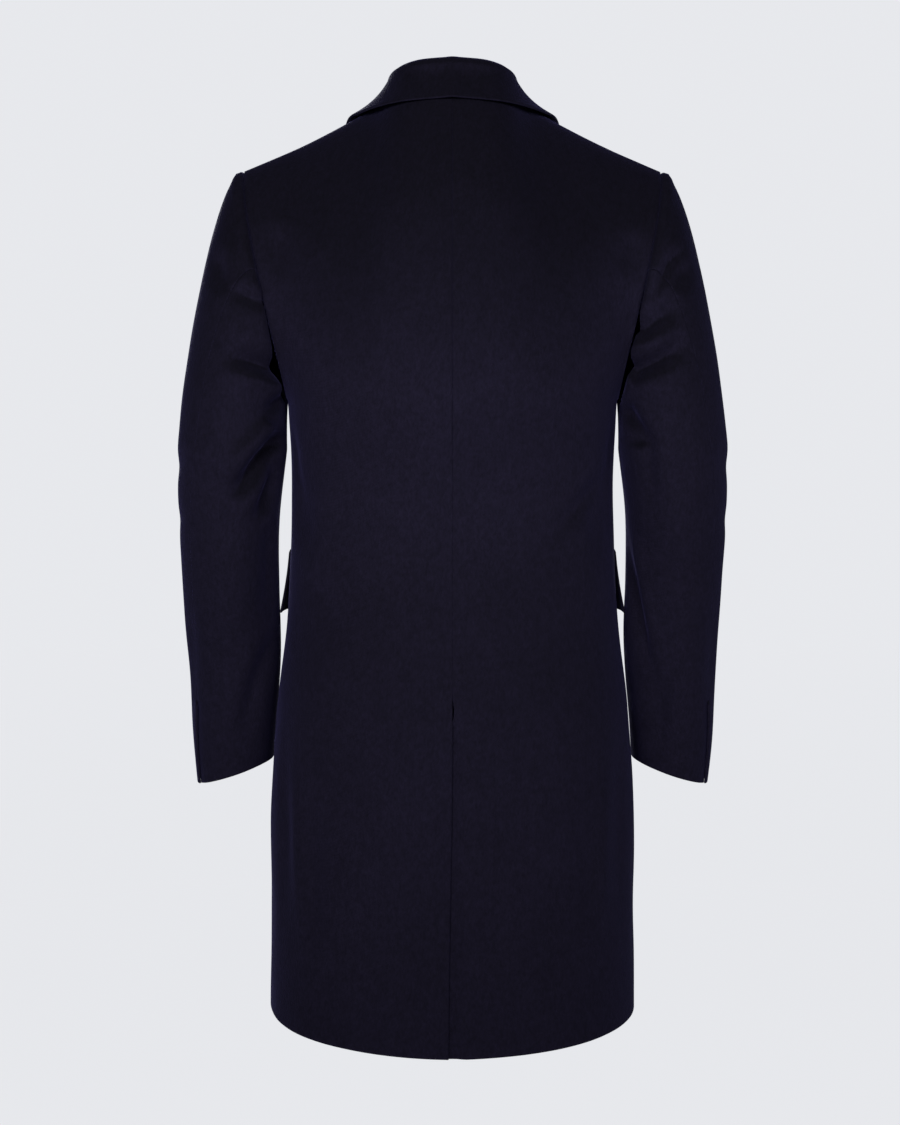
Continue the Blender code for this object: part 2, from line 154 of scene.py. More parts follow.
HeadHandles = namedtuple("HeadHandles", "around out_x out_y out_z rise_x rise_y rise_z")
HEAD = (
    HeadHandles(0, 0.024, 0.000, 0.006, -0.008, 0.000, 0.110),
    HeadHandles(50, 0.024, 0.012, 0.000, -0.006, -0.004, 0.100),
    HeadHandles(110, 0.014, 0.010, -0.020, -0.002, -0.002, 0.060),
    HeadHandles(180, 0.0014, 0.000, -0.014, 0.000, 0.000, 0.018),
    HeadHandles(250, 0.012, -0.008, -0.020, -0.002, 0.002, 0.060),
    HeadHandles(310, 0.022, -0.012, 0.000, -0.006, 0.004, 0.100),
    HeadHandles(360, 0.024, 0.000, 0.006, -0.008, 0.000, 0.110),
)
HIND_SEAM = (75, 28)
FORE_SEAM = (232, 222)

LapelRow = namedtuple("LapelRow", "up width")
LAPEL = (
    LapelRow(0.00, 0.004),
    LapelRow(0.30, 0.042),
    LapelRow(0.65, 0.075),
    LapelRow(1.00, 0.093),
)
GORGE_AT_ROLL = 1.755
GORGE_AT_POINT = 1.650

CollarSection = namedtuple(
    "CollarSection", "along roll_x roll_y roll_z mid_x mid_y mid_z edge_x edge_y edge_z"
)
COLLAR = (
    CollarSection(0.00, 0.000, 0.052, 0.0365, 0.000, 0.0635, 0.0150, 0.000, 0.0720, -0.0055),
    CollarSection(0.20, 0.036, 0.0435, 0.0335, 0.0455, 0.0520, 0.0105, 0.054, 0.0595, -0.0092),
    CollarSection(0.45, 0.060, 0.009, 0.0225, 0.0790, 0.0120, 0.0010, 0.099, 0.0125, -0.0165),
    CollarSection(0.60, 0.062, -0.013, 0.0075, 0.087, -0.0135, -0.0080, 0.113, -0.0110, -0.0215),
    CollarSection(0.80, 0.0645, -0.0325, -0.020, 0.0945, -0.0350, -0.0405, 0.120, -0.037, -0.055),
    CollarSection(1.00, 0.0625, -0.0545, -0.055, 0.092, -0.0620, -0.0815, 0.125, -0.060, -0.089),
)
COLLAR_FRONT_END = 1.765
ROLL_RADIUS = 0.0034
ROLL_POINTS = 9
FALL_SHARES = (0.2, 0.4, 0.6, 0.8, 1)

FLAP_TOP = -0.486
FLAP_HEIGHT = 0.070
FLAP_LENGTH = 0.165
FLAP_FROM_SEAM = 0.006
FLAP_LIFT = 0.0062
FLAP_BEND = 1.5
FLAP_CORNER = 0.020
FLAP_CORNER_RISE = 0.8 * FLAP_CORNER


def smooth(low, high, value):
    """0 below low, 1 above high and an even S between them; the ends may be swapped."""
    share = np.clip((value - low) / (high - low), 0.0, 1.0)
    return share * share * (3 - 2 * share)


def mirror(points):
    return points * np.array([-1, 1, 1])


def along_curve(keys, values, at):
    """Values along axis 0 at other keys, on a smooth curve through the given ones."""
    keys, at = np.asarray(keys, float), np.asarray(at, float)
    slopes = np.gradient(values, keys, axis=0)
    i = np.clip(np.searchsorted(keys, at) - 1, 0, len(keys) - 2)
    span = (keys[i + 1] - keys[i]).reshape(at.shape + (1,) * (values.ndim - 1))
    t = (at - keys[i]).reshape(span.shape) / span
    return (
        values[i] * (2 * t**3 - 3 * t**2 + 1)
        + slopes[i] * span * (t**3 - 2 * t**2 + t)
        + values[i + 1] * (3 * t**2 - 2 * t**3)
        + slopes[i + 1] * span * (t**3 - t**2)
    )


def through(table, key):
    rows = np.array(table)
    return along_curve(rows[:, 0], rows[:, 1:], key)


def bezier(start, start_handle, end_handle, end, t):
    """Cubic curve between two points, with its handles given from its ends."""
    start, end = np.array(start, float), np.array(end, float)
    first, second = start + start_handle, end + end_handle
    s = 1 - t
    return s**3 * start + 3 * s * s * t * first + 3 * s * t * t * second + t**3 * end


def oval(half_width, depth, power, share):
    """Point of a rounded oval's quarter, by length from its side (0) to its middle (1)."""
    angle = np.linspace(0, math.pi / 2, OVAL_POINTS)
    x = half_width * np.cos(angle) ** (2 / power)
    y = depth * np.sin(angle) ** (2 / power)
    run = np.concatenate([[0], np.cumsum(np.hypot(np.diff(x), np.diff(y)))])
    return np.interp(share * run[-1], run, x), np.interp(share * run[-1], run, y), run[-1]


def body_oval(z, back):
    """Half width, depth and power of the body's inner face at a height."""
    half_width, back_depth, front_depth = through(BODY, z) - WALL
    return (half_width, back_depth, OVAL_BACK) if back else (half_width, front_depth, OVAL_FRONT)


def section_point(z, across, back):
    """Inner face of the body at a height. Across is 0 at the middle and 1 at the side;
    below 0 it goes on past the middle."""
    x, y, _ = oval(*body_oval(z, back), 1 - abs(across))
    return np.array([math.copysign(x, across) if across else 0.0, y if back else -y, z])


def quarter_length(z, back):
    return oval(*body_oval(z, back), 1)[2]


def shoulder_seam(share):
    """From the neck (0) to the armhole (1)."""
    sag = np.array([0, 0, SHOULDER_SAG * math.sin(math.pi * share)])
    return np.array(SHOULDER_NECK) * (1 - share) + np.array(SHOULDER_END) * share - sag


def back_surface(across, up):
    """Left back, inner face. Up is 0 at the hem, 1 at the chest and 2 at the top."""
    if up <= 1:
        hem = HEM_BACK + (HEM_SIDE - HEM_BACK) * abs(across) ** HEM_BEND_BACK
        return section_point(hem + (CHEST - hem) * up, across, back=True)
    if across < NECK_SHARE:
        turn = across / NECK_SHARE * math.pi / 2
        neck_drop = SHOULDER_NECK[2] * across / NECK_SHARE
        top = np.array([NECK_HALF_WIDTH * math.sin(turn), NECK_BACK * math.cos(turn), neck_drop])
    else:
        top = shoulder_seam((across - NECK_SHARE) / (1 - NECK_SHARE))
    handles = through(BACK_HANDLES, across)
    chest = section_point(CHEST, across, back=True)
    return bezier(chest, handles[:3], handles[3:], top, up - 1)


def front_edge(z):
    """Across value of the front edge, which lies past the middle."""
    return -FRONT_LAP / quarter_length(z, back=False)


def front_surface(across, up):
    """Left front, inner face. Across is 0 at the front edge and 1 at the side."""
    if up <= 1:
        hem = HEM_FRONT + (HEM_SIDE - HEM_FRONT) * across**HEM_BEND_FRONT
        chest = BREAK + (CHEST - BREAK) * smooth(0, 1, across)
        z = hem + (chest - hem) * up
        edge = front_edge(z)
        return section_point(z, edge + (1 - edge) * across, back=False)
    handles = through(FRONT_HANDLES, across)
    return bezier(
        front_surface(across, 1), handles[:3], handles[3:], shoulder_seam(across), up - 1
    )


def normal(surface, across, up, outward):
    """Unit normal of a surface, on the side of a given direction."""
    step = NORMAL_STEP
    along = surface(across + step, up) - surface(across - step, up)
    rise = surface(across, up + step) - surface(across, up - step)
    n = np.cross(along, rise)
    n /= np.linalg.norm(n)
    return n if n @ np.array(outward) > 0 else -n


def armhole(around):
    """Where the sleeve's inner face starts: 0 at the shoulder, 90 at the back, 180 under the
    arm, where it folds down outside the panel."""
    back = around <= 180
    surface = back_surface if back else front_surface
    up = 2 - (around if back else 360 - around) / 180
    point = surface(1, up)
    step = ARMHOLE_STEP
    seam = surface(1, min(up + step, 2)) - surface(1, max(up - step, 1))
    seam /= np.linalg.norm(seam)
    out = point - surface(1 - step, up)
    out -= (out @ seam) * seam
    out /= np.linalg.norm(out)
    fold = smooth(*FOLD_BACK, around) if back else smooth(*FOLD_FRONT, 360 - around)
    off = normal(surface, 1 - step, up, (1, 0, 0))
    return point + ARMHOLE_SEAM * (1 - fold) * out + fold * (2 * WALL + 3 * LAYER) * off


def sleeve_ring(z, around):
    """Inner face of the sleeve at the height of a ring's middle."""
    outer_x, inner_x, middle_y, half_depth, drop = through(SLEEVE, z)
    middle_x = (outer_x + inner_x) / 2
    turn = math.radians(around)
    x = ((outer_x - inner_x) / 2 - WALL) * math.cos(turn)
    y = (half_depth - WALL) * math.sin(turn)
    return np.array([middle_x + x, middle_y + y, z - drop * x])


def sleeve_surface(around, down):
    """Left sleeve, inner face. Down is 0 at the armhole, 1 at the first ring, 2 at the hem."""
    first = SLEEVE[-1].z
    if down >= 1:
        return sleeve_ring(first + (SLEEVE[0].z - first) * (down - 1), around)
    handles = through(HEAD, around)
    return bezier(armhole(around), handles[:3], handles[3:], sleeve_ring(first, around), down)


def sleeve_seam(seam, down):
    return seam[0] + (seam[1] - seam[0]) * down / 2


def on_front(across, up, out, right=False):
    """Point of the left or the right front, moved out from its inner face."""
    point = front_surface(across, up)
    if right:
        tuck = FRONT_TUCK * smooth(FRONT_LAP + TUCK_RAMP, FRONT_LAP, point[0])
        point = point + np.array([0, tuck, 0])
    return point + out * normal(front_surface, across, up, OUT_FRONT)


def row_length(up):
    """Length of the front panel's row, from its edge to the armhole."""
    points = np.array([front_surface(a, up) for a in np.linspace(0, 1, ROW_POINTS)])
    return np.linalg.norm(np.diff(points, axis=0), axis=1).sum()


def neck_seam(along):
    """Outer face of the neckline: the backs' top edge, then the roll edge of a front."""
    if along <= 0.5:
        across, surface, outward = along / 0.5 * NECK_SHARE, back_surface, OUT_BACK
        up = 2
    else:
        across, surface, outward = 0, front_surface, OUT_FRONT
        up = 2 - (along - 0.5) / 0.5 * (2 - COLLAR_FRONT_END)
    return surface(across, up) + WALL * normal(surface, across, min(up, NEAR_TOP), outward)


def collar_section(along):
    """Inner face of the collar: up the stand, over the roll and down the fall."""
    values = through(COLLAR, abs(along))
    roll, middle, edge = values[:3], values[3:6], values[6:]
    out = (edge - roll) * np.array([1, 1, 0])
    out /= np.linalg.norm(out)
    fold = [
        roll + ROLL_RADIUS * (out * (1 - math.cos(a)) + np.array([0, 0, math.sin(a) - 1]))
        for a in np.linspace(0, math.pi, ROLL_POINTS)
    ]
    seam = neck_seam(abs(along))
    seam += (fold[0] - seam) * COLLAR_SEAM / np.linalg.norm(fold[0] - seam)
    stand = [seam, (seam + fold[0]) / 2]
    fall = [
        fold[-1] * (1 - t) * (1 - 2 * t) + middle * 4 * t * (1 - t) + edge * t * (2 * t - 1)
        for t in FALL_SHARES
    ]
    points = np.array(stand + fold + fall)
    return points if along >= 0 else mirror(points)


# ---- folds of the cloth

# A fold runs along a path of (sideways, height) points as seen from one side: sideways is
# x seen from the back or front, and y seen from the outside. It is a trough of that width
# and depth, or a ridge where depth is negative. It deepens over the first `rise` of its
# length and fades over the last `fade`. Lip is a ridge beside it, as a share of the depth:
# above it, or on its outer side, where positive, and on the other side where negative.
Fold = namedtuple("Fold", "seen path width depth rise fade lip")
VIEWS = {"back": (0, (0, 1, 0)), "front": (0, (0, -1, 0)), "outside": (1, (1, 0, 0))}


def seen_from(view, *rows):
    return [Fold(view, *row) for row in rows]


BODY_FOLDS = seen_from(
    "back",
    # Blades, waist and skirt.
    (((0.192, -0.130), (0.184, -0.160), (0.181, -0.200)), 0.013, 0.0024, 0.4, 0.5, 0),
    (((-0.190, -0.140), (-0.185, -0.195)), 0.012, 0.0022, 0.4, 0.5, 0),
    (((0.153, -0.385), (0.156, -0.440), (0.150, -0.500)), 0.012, 0.0036, 0.4, 0.5, 0.2),
    (((-0.154, -0.400), (-0.151, -0.450), (-0.154, -0.505)), 0.010, 0.003, 0.4, 0.5, 0),
    (((-0.166, -0.392), (-0.134, -0.430), (-0.088, -0.480)), 0.009, 0.0030, 0.2, 0.6, 0.3),
    (((0.146, -0.500), (0.128, -0.545), (0.118, -0.590)), 0.014, 0.0018, 0.3, 0.6, 0),
    (((0.166, -0.700), (0.163, -0.800), (0.154, -0.945)), 0.007, -0.0030, 0.4, 0.5, 0),
    (((0.150, -0.715), (0.146, -0.820), (0.139, -0.950)), 0.012, 0.0026, 0.4, 0.5, 0),
    (((-0.158, -0.705), (-0.159, -0.800), (-0.155, -0.930)), 0.006, -0.0020, 0.4, 0.5, 0),
    (((-0.144, -0.740), (-0.141, -0.900)), 0.012, 0.0016, 0.4, 0.5, 0),
    (((0.0129, -0.240), (0.0129, -0.590)), 0.0026, 0.0004, 0.1, 0.2, 0),
    (((-0.0223, -0.350), (-0.0226, -0.430), (-0.0215, -0.520)), 0.0055, 0.0010, 0.4, 0.4, 0),
) + seen_from(
    "outside",
    # From under the arms.
    (((0.030, -0.330), (0.048, -0.420), (0.042, -0.500)), 0.012, 0.0030, 0.3, 0.6, 0),
    (((-0.028, -0.345), (-0.050, -0.430)), 0.012, 0.0028, 0.3, 0.6, 0),
    (((0.060, -0.640), (0.075, -0.790), (0.070, -0.930)), 0.013, 0.0030, 0.4, 0.4, 0.3),
    (((-0.055, -0.620), (-0.070, -0.780), (-0.062, -0.920)), 0.012, 0.0026, 0.4, 0.4, 0),
) + seen_from(
    "front",
    # From the armhole, and from the middle button.
    (((0.172, -0.215), (0.150, -0.240), (0.132, -0.280)), 0.010, 0.0030, 0.3, 0.6, 0.2),
    (((-0.174, -0.205), (-0.155, -0.238), (-0.140, -0.262)), 0.009, 0.0026, 0.3, 0.6, 0.2),
    (((0.162, -0.330), (0.140, -0.365), (0.110, -0.392)), 0.010, 0.0028, 0.3, 0.6, 0),
    (((-0.160, -0.345), (-0.132, -0.372)), 0.010, 0.0024, 0.3, 0.6, 0),
    (((0.030, -0.512), (0.065, -0.490), (0.105, -0.480)), 0.008, 0.0024, 0.2, 0.7, 0.3),
    (((-0.045, -0.515), (-0.080, -0.492), (-0.118, -0.486)), 0.008, 0.0022, 0.2, 0.7, 0.3),
    (((0.035, -0.540), (0.070, -0.565)), 0.007, 0.0018, 0.2, 0.7, 0),
    (((0.120, -0.640), (0.128, -0.780), (0.122, -0.930)), 0.013, 0.0028, 0.4, 0.4, 0.2),
    (((0.150, -0.690), (0.158, -0.900)), 0.010, -0.0020, 0.4, 0.4, 0),
    (((-0.128, -0.620), (-0.134, -0.760), (-0.126, -0.900)), 0.012, 0.0026, 0.4, 0.4, 0.2),
    (((-0.075, -0.760), (-0.078, -0.935)), 0.014, 0.0018, 0.4, 0.4, 0),
    (((0.066, -0.790), (0.070, -0.950)), 0.014, 0.0018, 0.4, 0.4, 0),
)

SLEEVE_FOLDS = seen_from(
    "back",
    # Left sleeve.
    (((0.250, -0.160), (0.246, -0.185), (0.247, -0.212)), 0.009, 0.0030, 0.4, 0.4, 0),
    (((0.199, -0.221), (0.216, -0.212), (0.238, -0.205)), 0.006, 0.0036, 0.2, 0.5, 0.3),
    (((0.176, -0.293), (0.206, -0.283), (0.244, -0.270)), 0.0100, 0.0086, 0.1, 0.5, -0.3),
    (((0.178, -0.316), (0.190, -0.325), (0.206, -0.338)), 0.007, 0.0052, 0.15, 0.6, 0.2),
    (((0.178, -0.356), (0.206, -0.388), (0.240, -0.432)), 0.0105, 0.0130, 0.1, 0.5, 0.35),
    (((0.181, -0.384), (0.196, -0.418), (0.216, -0.462)), 0.0080, 0.0085, 0.15, 0.5, 0.2),
    (((0.196, -0.440), (0.199, -0.500), (0.203, -0.575)), 0.010, 0.0042, 0.3, 0.4, 0),
    (((0.237, -0.450), (0.235, -0.520), (0.234, -0.600)), 0.018, -0.0035, 0.4, 0.5, 0),
    (((0.189, -0.560), (0.216, -0.632), (0.236, -0.712)), 0.010, 0.0048, 0.3, 0.5, 0.35),
    (((0.262, -0.300), (0.264, -0.370), (0.258, -0.450)), 0.020, 0.0020, 0.4, 0.4, 0),
    # Right sleeve.
    (((-0.250, -0.160), (-0.229, -0.175), (-0.216, -0.204), (-0.203, -0.243)),
     0.0045, 0.0036, 0.2, 0.4, 0),
    (((-0.243, -0.168), (-0.242, -0.212)), 0.010, 0.0026, 0.4, 0.5, 0),
    (((-0.193, -0.252), (-0.216, -0.236), (-0.242, -0.214)), 0.0095, 0.0070, 0.1, 0.5, 0.1),
    (((-0.186, -0.292), (-0.216, -0.279), (-0.254, -0.256)), 0.0100, 0.0092, 0.1, 0.5, 0.3),
    (((-0.184, -0.325), (-0.201, -0.351), (-0.222, -0.372)), 0.0070, 0.0060, 0.15, 0.6, 0.2),
    (((-0.184, -0.356), (-0.209, -0.368), (-0.213, -0.414), (-0.216, -0.452)),
     0.0080, 0.0036, 0.2, 0.4, 0.1),
    (((-0.186, -0.460), (-0.202, -0.545), (-0.222, -0.640)), 0.0060, 0.0060, 0.2, 0.5, 0.4),
    (((-0.229, -0.610), (-0.227, -0.720)), 0.010, 0.0036, 0.4, 0.4, 0),
    (((-0.213, -0.625), (-0.206, -0.690)), 0.009, -0.0024, 0.4, 0.4, 0),
    (((-0.240, -0.400), (-0.244, -0.520)), 0.020, -0.0028, 0.4, 0.5, 0),
) + seen_from(
    "front",
    # Both sleeves: the drag at the armhole and the bend of the elbow.
    (((0.182, -0.262), (0.206, -0.246), (0.240, -0.238)), 0.008, 0.0056, 0.15, 0.6, 0.3),
    (((0.180, -0.330), (0.208, -0.312), (0.246, -0.296)), 0.009, 0.0064, 0.15, 0.6, -0.3),
    (((0.186, -0.388), (0.214, -0.402), (0.252, -0.400)), 0.010, 0.0070, 0.2, 0.6, 0.35),
    (((0.190, -0.438), (0.216, -0.444), (0.246, -0.436)), 0.009, 0.0050, 0.2, 0.6, 0.2),
    (((0.262, -0.500), (0.240, -0.585), (0.232, -0.680)), 0.012, 0.0040, 0.3, 0.5, 0.2),
    (((-0.182, -0.250), (-0.212, -0.240), (-0.236, -0.226)), 0.008, 0.0052, 0.15, 0.6, 0.3),
    (((-0.181, -0.318), (-0.206, -0.306), (-0.248, -0.286)), 0.009, 0.0068, 0.15, 0.6, -0.3),
    (((-0.186, -0.376), (-0.216, -0.392), (-0.250, -0.396)), 0.009, 0.0064, 0.2, 0.6, 0.35),
    (((-0.190, -0.430), (-0.222, -0.440), (-0.256, -0.430)), 0.010, 0.0054, 0.2, 0.6, 0.2),
    (((-0.258, -0.520), (-0.238, -0.600), (-0.226, -0.690)), 0.011, 0.0036, 0.3, 0.5, 0.2),
) + seen_from(
    "outside",
    # Both sleeves: soft folds round the elbow and down from the head.
    (((0.050, -0.372), (0.020, -0.392), (-0.022, -0.398)), 0.013, 0.0015, 0.3, 0.5, 0.2),
    (((0.042, -0.440), (0.006, -0.452), (-0.030, -0.446)), 0.013, 0.0012, 0.3, 0.5, 0),
    (((-0.028, -0.180), (-0.030, -0.250), (-0.022, -0.320)), 0.012, 0.0024, 0.4, 0.5, 0),
    (((0.022, -0.520), (0.004, -0.600), (-0.014, -0.690)), 0.013, 0.0026, 0.4, 0.5, 0),
)
# A fold fades from the side it is seen from to the edge of view, over this range of facing.
FACING = (0.05, 0.50)
# The sleeves' folds are this much deeper than SLEEVE_FOLDS says.
CREASE = 1.25
# In widths of the fold: where its lip lies, and how far it reaches.
LIP_AWAY = 1.7
FOLD_REACH = 4

# The cloth's own unevenness: waves over its whole surface, by their length and height.
Wave = namedtuple("Wave", "length height lean")
WAVES = (
    Wave(0.170, 0.00060, 0.3),
    Wave(0.094, 0.00034, 1.7),
    Wave(0.061, 0.00022, 2.9),
)
WAVE_STRETCH = 0.6


def path_distance(across, height, path):
    """Distance from each point to a path, which side it is on, and how far along it."""
    corners = np.array(path)
    lengths = np.linalg.norm(np.diff(corners, axis=0), axis=1)
    nearest = np.full(across.shape, np.inf)
    side, along, before = np.zeros(across.shape), np.zeros(across.shape), 0.0
    for start, end, length in zip(corners[:-1], corners[1:], lengths):
        run = (end - start) / length
        t = np.clip((across - start[0]) * run[0] + (height - start[1]) * run[1], 0, length)
        away = across - start[0] - t * run[0], height - start[1] - t * run[1]
        distance = np.hypot(*away)
        left = np.array([-run[1], run[0]])
        left *= np.sign(left @ np.array([0.5 * np.sign(corners[0][0]), 1.0]) or 1.0)
        closer = distance < nearest
        nearest = np.where(closer, distance, nearest)
        side = np.where(closer, np.sign(away[0] * left[0] + away[1] * left[1]), side)
        along = np.where(closer, (before + t) / lengths.sum(), along)
        before += length
    return nearest, side, along


def relief(points, normals, folds, sleeve_side=0):
    """How far the folds and waves move each point along its normal. Sleeve side is 1 on
    the left sleeve and -1 on the right, which take only their own folds."""
    moved = np.zeros(points.shape[:-1])
    for fold in folds:
        axis, direction = VIEWS[fold.seen]
        toward = normals @ np.array(direction, float)
        across = points[..., axis]
        if fold.seen == "outside":
            toward = normals[..., 0] * np.sign(points[..., 0])
        elif sleeve_side and np.sign(fold.path[0][0]) != sleeve_side:
            continue
        distance, side, along = path_distance(across, points[..., 2], fold.path)
        if distance.min() > FOLD_REACH * fold.width:
            continue
        swell = smooth(0, fold.rise, along) * smooth(1, 1 - fold.fade, along)
        shape = np.exp(-((distance / fold.width) ** 2))
        aside = side * distance * np.sign(fold.lip) / fold.width
        lip = abs(fold.lip) * np.exp(-((aside - LIP_AWAY) ** 2))
        depth = fold.depth * (CREASE if sleeve_side else 1.0) * swell
        moved -= depth * smooth(*FACING, toward) * (shape - lip)
    for wave in WAVES:
        turn = 2 * math.pi / wave.length
        x, y, z = (points[..., axis] * turn for axis in range(3))
        moved += (
            wave.height
            * np.sin(x + wave.lean)
            * np.sin(y - 2 * wave.lean)
            * np.sin(z * WAVE_STRETCH + 3 * wave.lean)
        )
    return moved


# ---- shells of cloth

STEP = 0.0036
NEAR_EDGE = (0.0, 0.0005, 0.0011, 0.0019, 0.0030)
# An edge is a seam, which dips by a depth over a width, or free and rounded, or between
# the two where its free share is an array along it.
Edge = namedtuple("Edge", "free depth width")
FREE = Edge(1.0, 0.0, 0.001)
PRESSED = Edge(0.0, 0.0003, 0.0012)
FAINT = Edge(0.0, 0.00018, 0.0012)
SEWN = Edge(0.0, 0.0013, 0.0022)
ARMHOLE = Edge(0.0, 0.0019, 0.0026)
LEAST_EDGE = 0.24
EDGE_RADIUS = 0.0024
# A free edge is a little fuller just inside its rounding: how much, where and how wide.
EDGE_BEAD = 0.00020
BEAD_AT = 0.0035
BEAD_WIDTH = 0.0016


def stations(length, step):
    """Distances along a piece, close together near both ends and a step apart between."""
    near = np.array(NEAR_EDGE)
    count = max(3, round((length - 2 * near[-1]) / step))
    middle = np.linspace(near[-1], length - near[-1], count)
    return np.concatenate([near[:-1], middle, length - near[:-1][::-1]])


def run_of(points, axis):
    steps = np.linalg.norm(np.diff(points, axis=axis), axis=-1).mean(axis=1 - axis)
    return np.concatenate([[0], np.cumsum(steps)])


def refined(grid, step=STEP):
    """A grid of points at a finer, even spacing, on smooth curves through the given ones."""
    for axis in (0, 1):
        run = run_of(grid, axis)
        lines = np.moveaxis(grid, axis, 0)
        grid = np.moveaxis(along_curve(run, lines, stations(run[-1], step)), 0, axis)
    return grid


def normals_of(grid, flip):
    n = np.cross(np.gradient(grid, axis=1), np.gradient(grid, axis=0))
    n /= np.maximum(np.linalg.norm(n, axis=-1, keepdims=True), 1e-12)
    return -n if flip else n


def edge_distances(grid):
    """Distance of each point from the first and last column, and first and last row."""
    found = []
    for axis in (1, 0):
        steps = np.linalg.norm(np.diff(grid, axis=axis), axis=-1)
        run = np.cumsum(steps, axis=axis)
        start = np.insert(run, 0, 0, axis=axis)
        found += [start, np.take(start, [-1], axis=axis) - start]
    return found


def shell(name, grid, flip, edges):
    """Closed shell of cloth on a grid of its inner face. Edges are those along its first
    and last columns, then its first and last rows."""
    normals = normals_of(grid, flip)
    outer = np.full(grid.shape[:2], WALL)
    inner = np.zeros(grid.shape[:2])
    for at, (edge, distance) in enumerate(zip(edges, edge_distances(grid))):
        free = np.asarray(edge.free, float)
        if free.ndim:
            free = free[:, None] if at < 2 else free[None, :]
        inset = 1 - np.clip(distance / EDGE_RADIUS, 0, 1)
        pinch = (1 - np.sqrt(1 - inset**2)) * (1 - LEAST_EDGE) * WALL / 2
        bead = EDGE_BEAD * np.exp(-(((distance - BEAD_AT) / BEAD_WIDTH) ** 2))
        dip = edge.depth * np.exp(-((distance / edge.width) ** 2))
        outer = np.minimum(outer, WALL - dip * (1 - free) - free * (pinch - bead))
        inner = np.maximum(inner, free * pinch)
    rows, columns = grid.shape[:2]
    count = rows * columns
    skins = [(grid + normals * out[..., None]).reshape(-1, 3) for out in (outer, inner)]
    points = np.concatenate(skins)
    index = np.arange(count).reshape(rows, columns)
    quads = np.stack([index[:-1, :-1], index[:-1, 1:], index[1:, 1:], index[1:, :-1]], -1)
    quads = quads.reshape(-1, 4)
    faces = [quads, quads[:, ::-1] + count]
    for line in (index[0], index[-1][::-1], index[::-1, 0], index[:, -1]):
        a, b = line[:-1], line[1:]
        faces.append(np.stack([b, a, a + count, b + count], -1))
    faces = np.concatenate(faces)
    if flip:
        faces = faces[:, ::-1]
    mesh = bpy.data.meshes.new(name)
    mesh.from_pydata(points.tolist(), [], faces.tolist())
    mesh.shade_smooth()
    mesh.materials.append(wool())
    return added(name, mesh)


def added(name, data):
    """A new object in the scene."""
    obj = bpy.data.objects.new(name, data)
    bpy.context.scene.collection.objects.link(obj)
    return obj


def mesh_from(bm, name):
    """A mesh of what was built, which is then let go."""
    mesh = bpy.data.meshes.new(name)
    bm.to_mesh(mesh)
    bm.free()
    return mesh


def piece_of(obj, node):
    """Hides the node's own part and attaches the object to the root."""
    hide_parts(node)
    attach(obj, "root")
    return obj


def cloth(node, grid, flip, edges):
    """The piece of cloth that stands for a node."""
    obj = piece_of(shell(node + "_cloth", grid, flip, edges), node)


def folded(grid, flip, folds, sleeve_side=0):
    """The grid with its folds pressed into it."""
    normals = normals_of(grid, flip)
    return grid + normals * relief(grid, normals, folds, sleeve_side)[..., None]


EASE_REACH = 0.05
EASE_HEIGHTS = (-0.45, -0.30)
EASE_PASSES = 60


def eased(grid):
    """The upper part of the grid smoothed sideways, more so away from its top edge."""
    _, _, _, from_top = edge_distances(grid)
    share = smooth(0.0, EASE_REACH, from_top)[:, 1:-1, None]
    share = share * smooth(*EASE_HEIGHTS, grid[:, 1:-1, 2:])
    for _ in range(EASE_PASSES):
        beside = (grid[:, :-2] + grid[:, 2:]) / 2
        grid[:, 1:-1] += share * 0.5 * (beside - grid[:, 1:-1])
    return grid


# Columns and rows at which the form is worked out, before it is refined: rows below and
# above the chest on a panel, and above and below the first ring on a sleeve.
PANEL_COLUMNS = 19
PANEL_ROWS = (25, 15)
SLEEVE_ROWS = (17, 17)
TOP_SLEEVE_COLUMNS = 19
UNDER_SLEEVE_COLUMNS = 17


def two_stretches(rows):
    """Shares from 0 to 1 and from 1 to 2, in as many steps as given for each."""
    low, high = rows
    return np.concatenate([np.linspace(0, 1, low, endpoint=False), np.linspace(1, 2, high)])


VENT_RAMP = (0.015, 0.003)
VENT_END = 0.004


def backs():
    """Left back with the vent's free edge, and right back with the underlap."""
    shares = np.linspace(0, 1, PANEL_COLUMNS)
    left, right = [], []
    for up in two_stretches(PANEL_ROWS):
        z = HEM_BACK + (CHEST - HEM_BACK) * min(up, 1)
        length = quarter_length(z, back=True)
        opened = smooth(VENT_TOP, HEM_BACK, z) * VENT_SWING / length
        left.append([back_surface(a + opened * (1 - a), up) for a in shares])
        lap = VENT_LAP / length * smooth(VENT_TOP, VENT_TOP - VENT_EASE, z)
        right.append([back_surface(a - lap * (1 - a) ** VENT_FADE, up) for a in shares])
    for side, rows in (("left", left), ("right", right)):
        grid = eased(refined(np.array(rows)))
        flip = side == "left"
        if side == "right":
            z = grid[..., 2]
            tuck = VENT_TUCK * smooth(VENT_TOP + VENT_EASE, VENT_TOP, z)
            inward = tuck * smooth(*VENT_RAMP, grid[..., 0])
            grid = mirror(grid - normals_of(grid, True) * inward[..., None])
        grid = folded(grid, flip, BODY_FOLDS)
        free = smooth(VENT_TOP + VENT_END, VENT_TOP - VENT_END, grid[:, 0, 2])
        middle = Edge(free, PRESSED.depth, PRESSED.width)
        cloth(f"back_{side}", grid, flip, (middle, SEWN, FREE, SEWN))


